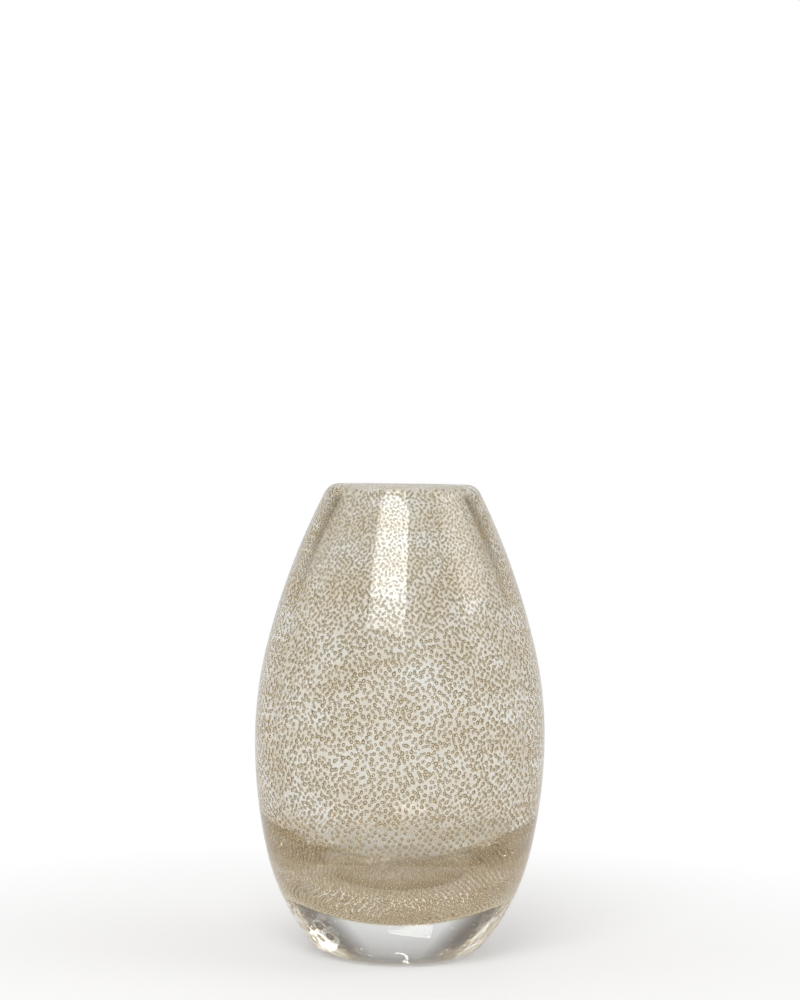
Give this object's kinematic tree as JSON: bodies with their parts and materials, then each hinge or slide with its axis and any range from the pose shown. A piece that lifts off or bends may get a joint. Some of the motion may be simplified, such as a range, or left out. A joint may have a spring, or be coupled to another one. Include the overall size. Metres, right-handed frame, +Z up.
{
  "type": "bud vase",
  "caption": "Small egg-shaped cased-glass bud vase with a tinted layer of trapped air bubbles, a thick solid clear base, a flat foot and a narrow rounded mouth.",
  "frame": {"origin": "centre of the flat foot, on the surface the vase stands on", "axes": "+Z up along the vase's axis of revolution, out of the mouth; X and Y are interchangeable"},
  "size_m": [0.093, 0.093, 0.15],
  "materials": {
    "clear_glass": "polished colourless glass",
    "bubble_glass": "champagne-tinted glass full of small trapped air bubbles"
  },
  "bodies": {
    "root": {"outer_casing": "clear_glass", "bubble_layer": "bubble_glass", "inner_lining": "clear_glass"}
  },
  "joints": []
}
